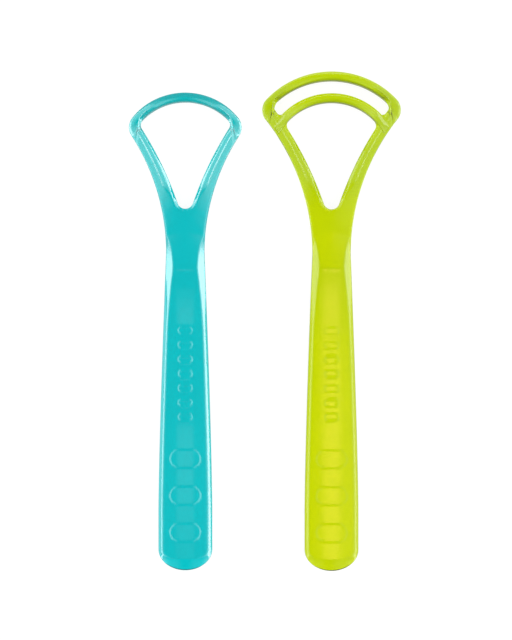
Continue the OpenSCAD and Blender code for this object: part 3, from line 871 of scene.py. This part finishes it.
def scraper_object(name, s, arc_r, crossing_rs, place, plastic):
    """A whole scraper at its place: the moulding, joined exactly with its crossing blades, the webs in
    their corners and the loops."""
    scraper = bpy.data.objects.new(name, moulding_mesh(s, arc_r))
    bpy.context.scene.collection.objects.link(scraper)
    additions = [crossing_blade_mesh(s, r, arc_r) for r in crossing_rs]
    additions += [corner_web_mesh(s, r - s.blade_w, s.inner_corner_r, -1) for r in crossing_rs]
    additions += [corner_web_mesh(s, r, s.slot_corner_r, 1) for r in crossing_rs] + [loops_mesh(s)]
    for mesh in additions:
        tool = bpy.data.objects.new("addition", mesh)
        bpy.context.scene.collection.objects.link(tool)
        union = scraper.modifiers.new("join", "BOOLEAN")
        union.operation = "UNION"
        union.solver = "EXACT"
        union.object = tool
    bpy.context.view_layer.update()
    joined = bpy.data.meshes.new_from_object(scraper.evaluated_get(bpy.context.evaluated_depsgraph_get()))
    for tool in [modifier.object for modifier in scraper.modifiers]:
        bpy.data.objects.remove(tool)
    scraper.modifiers.clear()
    scraper.data = joined
    joined.name = name
    joined.transform(Matrix.Translation(place))
    joined.shade_smooth()
    joined.set_sharp_from_angle(angle=math.radians(SHARP_ANGLE))
    joined.materials.append(plastic)
    return scraper


def place_of(node):
    """Where a scraper's own origin lies in the frame: on its long axis, at its free end, on its back."""
    low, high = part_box(node)
    return Vector(((low.x + high.x) / 2, low.y, low.z))


# Materials


def feed(tree, made, inputs):
    """Gives each input of a node its value, or links it where the value is an output."""
    for name, value in inputs.items():
        if isinstance(value, bpy.types.NodeSocket):
            tree.links.new(value, made.inputs[name])
        else:
            made.inputs[name].default_value = value


def node(tree, kind, inputs=None, **settings):
    """A new node with its settings and its inputs."""
    made = tree.nodes.new(kind)
    for name, value in settings.items():
        setattr(made, name, value)
    feed(tree, made, inputs or {})
    return made


def maths(tree, operation, *values):
    """One arithmetic step on values or outputs."""
    return node(tree, "ShaderNodeMath", dict(enumerate(values)), operation=operation).outputs[0]


def ranged(tree, value, ends, at_low=0.0, at_high=1.0, step="SMOOTHSTEP"):
    """at_low up to the lower of two ends, at_high from the higher one, and a step between them."""
    inputs = {"Value": value, "From Min": ends[0], "From Max": ends[1], "To Min": at_low, "To Max": at_high}
    return node(tree, "ShaderNodeMapRange", inputs, interpolation_type=step).outputs["Result"]


def mixed(tree, factor, a, b, blend="MIX"):
    """Two colours mixed by a factor, in one of the ways of mixing."""
    inputs = {"Factor": factor, "A": a, "B": b}
    return node(tree, "ShaderNodeMix", inputs, data_type="RGBA", blend_type=blend).outputs["Result"]


def noise(tree, vector, scale, detail):
    """A level from 0 to 1 that wanders over the surface."""
    inputs = {"Vector": vector, "Scale": scale, "Detail": detail}
    return node(tree, "ShaderNodeTexNoise", inputs).outputs["Fac"]


def grey(level):
    """A grey of one level."""
    return (level, level, level, 1)


def skin_and_painted_light_group():
    """What a moulded skin adds to a clear dyed plastic: slow changes of the dye along the flow and
    towards the head, a deeper blade, a gloss that is never quite even, the shallow waves that cooling
    leaves, painted shade, a deeper colour with less shine, where the skin is steep, and painted light
    along the outer rims, shade where the rim colour is darker and a highlight where it is lighter.
    Where Rim Dullness is 1, the rims and the slope of the free end are matt too. Every pattern reads
    the Vector input, in metres, and Axis is the x of the long axis."""
    group = bpy.data.node_groups.get("moulded_skin")
    if group:
        return group
    group = bpy.data.node_groups.new("moulded_skin", "ShaderNodeTree")
    for in_out, kind, names in (
        ("INPUT", "NodeSocketVector", ("Vector", "Normal")),
        ("INPUT", "NodeSocketFloat", ("Axis", "Rim Dullness")),
        ("INPUT", "NodeSocketColor", ("Colour", "Flow Colour", "Head Tint", "Blade Tint")),
        ("INPUT", "NodeSocketColor", ("Wall Colour", "Rim Colour")),
        ("OUTPUT", "NodeSocketColor", ("Colour",)),
        ("OUTPUT", "NodeSocketFloat", ("Shine", "Roughness", "Height")),
    ):
        for name in names:
            group.interface.new_socket(name=name, in_out=in_out, socket_type=kind)
    given = group.nodes.new("NodeGroupInput").outputs
    place = node(group, "ShaderNodeSeparateXYZ", {"Vector": given["Vector"]}).outputs
    facing = node(group, "ShaderNodeSeparateXYZ", {"Vector": given["Normal"]}).outputs
    stretch = {"Vector": given["Vector"], "Scale": (1.0, FLOW_STRETCH, 1.0)}
    stretched = node(group, "ShaderNodeMapping", stretch).outputs["Vector"]

    # Masks go from 0 to 1: both is the product, either the greater, without what is left of 1, and above
    # and below are soft steps up and down
    def both(a, b):
        return maths(group, "MULTIPLY", a, b)

    def either(a, b):
        return maths(group, "MAXIMUM", a, b)

    def without(a):
        return maths(group, "SUBTRACT", 1.0, a)

    def above(value, ends):
        return ranged(group, value, ends)

    def below(value, ends):
        return ranged(group, value, ends, 1.0, 0.0)

    aside = maths(group, "SUBTRACT", place["X"], given["Axis"])
    off_axis = maths(group, "ABSOLUTE", aside)
    at_blades = above(place["Y"], BLADES_Y)
    on_blade = both(at_blades, below(off_axis, BLADE_REACH))
    in_corner = both(at_blades, above(off_axis, CORNER_REACH))
    # steep marks where painted shade goes: sheer walls, except in the head's corners, and walls that face
    # the free end
    sheer = both(below(maths(group, "ABSOLUTE", facing["Z"]), SHEER_FACING), without(in_corner))
    steep = either(sheer, below(facing["Y"], INNER_WALL_FACING))
    on_arm = both(above(place["Y"], ARM_START_Y), below(place["Y"], ARM_END_Y))
    outward = above(both(facing["X"], maths(group, "SIGN", aside)), FLANK_FACING)
    # rim marks the outer rims of the blades and arms, where painted light goes and where they may be dull
    rim = either(both(at_blades, above(facing["Y"], BLADE_RIM_FACING)), both(on_arm, outward))
    sloping = both(below(place["Y"], FREE_END_Y), below(facing["Y"], END_SLOPE_FACING))
    end_slope = both(sloping, below(maths(group, "ABSOLUTE", facing["X"]), END_SIDE_FACING))
    dull = either(steep, both(rim, given["Rim Dullness"]))
    matt = either(dull, both(end_slope, given["Rim Dullness"]))

    tint = mixed(group, noise(group, stretched, *FLOW_NOISE), given["Colour"], given["Flow Colour"])
    tint = mixed(group, above(place["Y"], HEAD_Y), tint, given["Head Tint"], "MULTIPLY")
    tint = mixed(group, on_blade, tint, given["Blade Tint"], "DIVIDE")
    # Painted shade on the steep walls
    tint = mixed(group, steep, tint, given["Wall Colour"])
    # Painted light on the outer rims: shade on the cyan, a highlight on the lime
    tint = mixed(group, rim, tint, given["Rim Colour"])
    haze = noise(group, given["Vector"], *HAZE_NOISE)
    gloss = ranged(group, haze, HAZE_LEVELS, *GLOSS_ROUGHNESS, "LINEAR")
    roughness = node(group, "ShaderNodeMix", {"Factor": dull, "A": gloss, "B": DULL_ROUGHNESS})
    feed(group, group.nodes.new("NodeGroupOutput"), {
        "Colour": tint, "Shine": without(matt), "Roughness": roughness.outputs["Result"],
        "Height": noise(group, stretched, *WAVE_NOISE),
    })
    return group


def clear_plastic(name, colours, dye, axis_x, coated, gloss_tint):
    """Clear dyed plastic: a gloss skin over a body that light passes through and is coloured in. Its
    colours are those whose names start with the dye's."""
    material = bpy.data.materials.new(name)
    material.use_nodes = True
    tree = material.node_tree

    def dyed(end="", shade=1.0):
        """The dye's colour whose name has this end, the plastic's own or a painted shade or highlight,
        darkened by the shade.
        """
        return (*(c * shade for c in getattr(colours, dye + end)), 1)

    skin = node(tree, "ShaderNodeGroup", {
        "Vector": node(tree, "ShaderNodeTexCoord").outputs["Object"],
        "Normal": node(tree, "ShaderNodeNewGeometry").outputs["Normal"],
        "Axis": axis_x, "Rim Dullness": 1.0 if coated else 0.0,
        "Colour": dyed(), "Flow Colour": dyed(shade=FLOW_SHADE), "Head Tint": dyed("_head"),
        # The wall colour is painted shade; the rim colour is painted shade on the cyan and a painted
        # highlight on the lime
        "Blade Tint": dyed("_blade"), "Wall Colour": dyed("_wall"), "Rim Colour": dyed("_rim"),
    }, node_tree=skin_and_painted_light_group()).outputs
    bump = node(tree, "ShaderNodeBump", {"Strength": 1.0, "Distance": WAVE_DEPTH, "Height": skin["Height"]})
    body = tree.nodes["Principled BSDF"]
    feed(tree, body, {
        "IOR": PLASTIC_IOR, "Transmission Weight": 1.0, "Specular Tint": grey(gloss_tint),
        "Coat Roughness": COAT_ROUGHNESS, "Coat IOR": COAT_IOR,
        "Base Color": skin["Colour"], "Roughness": skin["Roughness"], "Normal": bump.outputs["Normal"],
    })
    if coated:
        feed(tree, body, {"Coat Weight": skin["Shine"]})
    depth = node(tree, "ShaderNodeVolumeAbsorption", {"Color": dyed("_depth"), "Density": DYE_DENSITY})
    feed(tree, tree.nodes["Material Output"], {"Volume": depth.outputs["Volume"]})
    return material


def floor_material(tint):
    """A white floor that the camera, the gloss and the clear plastic see as white. Its diffuse part
    keeps the soft shadow."""
    material = bpy.data.materials.new("white_floor")
    material.use_nodes = True
    tree = material.node_tree
    tree.nodes.remove(tree.nodes["Principled BSDF"])
    plain = node(tree, "ShaderNodeBsdfDiffuse", {"Color": (*tint, 1)}).outputs["BSDF"]
    soft = node(tree, "ShaderNodeBsdfDiffuse", {"Color": grey(FLOOR_SEEN)}).outputs["BSDF"]
    glow = node(tree, "ShaderNodeEmission", {"Strength": FLOOR_GLOW}).outputs["Emission"]
    seen = node(tree, "ShaderNodeAddShader", {0: soft, 1: glow}).outputs["Shader"]
    rays = node(tree, "ShaderNodeLightPath").outputs
    looking = maths(tree, "MAXIMUM", rays["Is Camera Ray"], rays["Is Glossy Ray"])
    looking = maths(tree, "MAXIMUM", looking, rays["Is Transmission Ray"])
    choice = node(tree, "ShaderNodeMixShader", {"Fac": looking, 1: plain, 2: seen})
    feed(tree, tree.nodes["Material Output"], {"Surface": choice.outputs["Shader"]})
    return material


def studio_world():
    """White to the camera. What lights the object and shines in it is a tent that is open overhead and
    at both ends of the pair. Its level depends on the slope |x| / sqrt(x^2 + z^2) of the direction."""
    world = bpy.data.worlds.new("studio")
    world.use_nodes = True
    tree = world.node_tree
    tree.nodes.clear()
    where = node(tree, "ShaderNodeTexCoord").outputs["Generated"]
    away = node(tree, "ShaderNodeSeparateXYZ", {"Vector": where}).outputs
    leaned = maths(tree, "ADD", away["X"], maths(tree, "MULTIPLY", away["Z"], TENT_LEAN))
    across = maths(tree, "ABSOLUTE", leaned)
    x_square = maths(tree, "MULTIPLY", across, across)
    z_square = maths(tree, "MULTIPLY", away["Z"], away["Z"])
    square = maths(tree, "ADD", maths(tree, "ADD", x_square, z_square), TINY_SQUARE)
    slope = maths(tree, "DIVIDE", across, maths(tree, "SQRT", square))
    ramp = node(tree, "ShaderNodeValToRGB", {"Fac": slope})
    points = ramp.color_ramp.elements
    points[0].color = grey(TENT_OPEN)
    points[1].color = grey(TENT_SIDE)
    for position, level in TENT_LEVELS:
        points.new(position).color = grey(level)
    between = ranged(tree, maths(tree, "ABSOLUTE", away["Y"]), TENT_END_Y, 1.0, 0.0)
    tent = mixed(tree, between, grey(TENT_END), ramp.outputs["Color"])
    dome = node(tree, "ShaderNodeBackground", {"Color": tent}).outputs["Background"]
    white = node(tree, "ShaderNodeBackground", {"Color": grey(1)}).outputs["Background"]
    camera_ray = node(tree, "ShaderNodeLightPath").outputs["Is Camera Ray"]
    choice = node(tree, "ShaderNodeMixShader", {"Fac": camera_ray, 1: dome, 2: white})
    feed(tree, node(tree, "ShaderNodeOutputWorld"), {"Surface": choice.outputs["Shader"]})
    return world


# Stage


def lamp(name, place, target, size_x, size_y, radiance, tint=(1.0, 1.0, 1.0), only=None):
    """A rectangular lamp of an even radiance that faces the target. One that is for one scraper only
    leaves the other alone."""
    light = bpy.data.lights.new(name, "AREA")
    light.shape = "RECTANGLE"
    light.size = size_x
    light.size_y = size_y
    light.energy = radiance * math.pi * size_x * size_y
    light.color = tint
    fixture = bpy.data.objects.new(name, light)
    fixture.location = place
    away = Vector(place) - Vector(target)
    pitch = -math.atan2(away.y, math.hypot(away.x, away.z))
    fixture.rotation_euler = (pitch, math.atan2(away.x, away.z), 0)
    bpy.context.scene.collection.objects.link(fixture)
    if only:
        receivers = bpy.data.collections.new(name + "_receivers")
        receivers.objects.link(only)
        fixture.light_linking.receiver_collection = receivers


def hang_strips(stage, axis_x, scraper, far, near, radiance, tint):
    """Strips hang where a scraper's level face mirrors them to the camera, a narrow one below a wider
    one, so that their gleam has soft edges."""
    x = axis_x + (axis_x - stage.camera_x) * stage.strip_h / stage.camera_h
    for k in range(STRIPS):
        strip_far = far - k * STRIP_INSET
        y = -(strip_far + near) / 2
        strip_w = stage.strip_w * (1 - k * STRIP_NARROWING)
        place = (x, y, stage.strip_h - k * STRIP_STEP)
        lamp("strip", place, (x, y, 0), strip_w, strip_far - near, radiance, tint, scraper)


def hang_softboxes(stage, axis_x, scraper):
    """A low softbox behind the head shines in one scraper's outer rims, and one stands upright on each
    side of the pair."""
    back_z = stage.back_box_w / 2
    lamp(
        "back_softbox", (axis_x, stage.box_reach, back_z), (axis_x, 0, back_z), stage.box_l,
        stage.back_box_w, BACK_BOX_LIGHT, only=scraper,
    )
    for side, lowest, radiance in (
        (-1, stage.left_box_z, LEFT_BOX_LIGHT), (1, stage.right_box_z, RIGHT_BOX_LIGHT),
    ):
        z = lowest + stage.box_w / 2
        lamp("softbox", (side * stage.box_reach, 0, z), (0, 0, z), stage.box_w, stage.box_l, radiance)


def lay_floor(stage, tint):
    """One white square a little below the flat backs."""
    half = stage.floor_w / 2
    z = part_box("single_blade_scraper")[0].z - stage.floor_gap
    mesh = bpy.data.meshes.new("floor")
    corners = [(-half, -half, z), (half, -half, z), (half, half, z), (-half, half, z)]
    mesh.from_pydata(corners, [], [(0, 1, 2, 3)])
    mesh.materials.append(floor_material(tint))
    floor = bpy.data.objects.new("floor", mesh)
    bpy.context.scene.collection.objects.link(floor)


def set_camera(stage):
    """The camera looks straight down."""
    camera_data = bpy.data.cameras.new("camera")
    camera_data.sensor_width = SENSOR_WIDTH
    camera_data.lens = LENS
    camera = bpy.data.objects.new("camera", camera_data)
    camera.location = (stage.camera_x, stage.camera_y, stage.camera_h)
    bpy.context.scene.collection.objects.link(camera)
    bpy.context.scene.camera = camera


# Operators


class MakeSingleBladeScraper(bpy.types.Operator):
    """Makes the cyan scraper with one arched blade"""

    bl_idname = "tongue_scrapers.single_blade"
    bl_label = "Single-Blade Scraper"

    def execute(self, context):
        s = context.scene.scraper_sizes
        place = place_of("single_blade_scraper")
        plastic = clear_plastic("cyan_plastic", context.scene.scraper_colours, "cyan", place.x, True, 1.0)
        scraper = scraper_object("single_blade_moulding", s, s.inner_arc_r, [], place, plastic)
        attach(scraper, "root")
        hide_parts("single_blade_scraper")
        return {"FINISHED"}


class MakeDoubleBladeScraper(bpy.types.Operator):
    """Makes the lime scraper with two arched blades"""

    bl_idname = "tongue_scrapers.double_blade"
    bl_label = "Double-Blade Scraper"

    def execute(self, context):
        s = context.scene.scraper_sizes
        place = place_of("double_blade_scraper")
        plastic = clear_plastic(
            "lime_plastic", context.scene.scraper_colours, "lime", place.x, False, LIME_GLOSS_TINT,
        )
        scraper = scraper_object("double_blade_moulding", s, outer_arc_r(s), [s.inner_arc_r], place, plastic)
        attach(scraper, "root")
        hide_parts("double_blade_scraper")
        return {"FINISHED"}


class MakeStage(bpy.types.Operator):
    """Lays the white floor, hangs the lamps and sets up the camera"""

    bl_idname = "tongue_scrapers.stage"
    bl_label = "Stage"

    def execute(self, context):
        stage = context.scene.scraper_stage
        lay_floor(stage, context.scene.scraper_colours.floor)
        context.scene.world = studio_world()
        single = bpy.data.objects["single_blade_moulding"]
        double = bpy.data.objects["double_blade_moulding"]
        double_x = place_of("double_blade_scraper").x
        hang_strips(stage, place_of("single_blade_scraper").x, single, **SINGLE_STRIPS)
        hang_strips(stage, double_x, double, **DOUBLE_STRIPS)
        hang_softboxes(stage, double_x, double)
        set_camera(stage)
        context.scene.view_settings.view_transform = "Standard"
        return {"FINISHED"}


class ScraperPanel(bpy.types.Panel):
    """Sizes, colours and the operators that use them"""

    bl_idname = "VIEW3D_PT_tongue_scrapers"
    bl_label = "Tongue Scrapers"
    bl_space_type = "VIEW_3D"
    bl_region_type = "UI"
    bl_category = "Tongue Scrapers"

    def draw(self, context):
        layout = self.layout
        scene = context.scene
        for group in (scene.scraper_sizes, scene.scraper_colours, scene.scraper_stage):
            box = layout.box()
            for name in group.__annotations__:
                box.prop(group, name)
        for maker in MAKERS:
            layout.operator(maker.bl_idname)


MAKERS = (MakeSingleBladeScraper, MakeDoubleBladeScraper, MakeStage)
CLASSES = (ScraperSizes, ScraperColours, StageSizes, *MAKERS, ScraperPanel)


def register():
    """Registers the classes and hangs their sizes and colours on the scene."""
    for cls in CLASSES:
        bpy.utils.register_class(cls)
    bpy.types.Scene.scraper_sizes = PointerProperty(type=ScraperSizes)
    bpy.types.Scene.scraper_colours = PointerProperty(type=ScraperColours)
    bpy.types.Scene.scraper_stage = PointerProperty(type=StageSizes)


def unregister():
    """Undoes register, backwards."""
    del bpy.types.Scene.scraper_stage
    del bpy.types.Scene.scraper_colours
    del bpy.types.Scene.scraper_sizes
    for cls in reversed(CLASSES):
        bpy.utils.unregister_class(cls)


def main():
    register()
    bpy.ops.tongue_scrapers.single_blade()
    bpy.ops.tongue_scrapers.double_blade()
    bpy.ops.tongue_scrapers.stage()


if __name__ == "__main__":
    main()
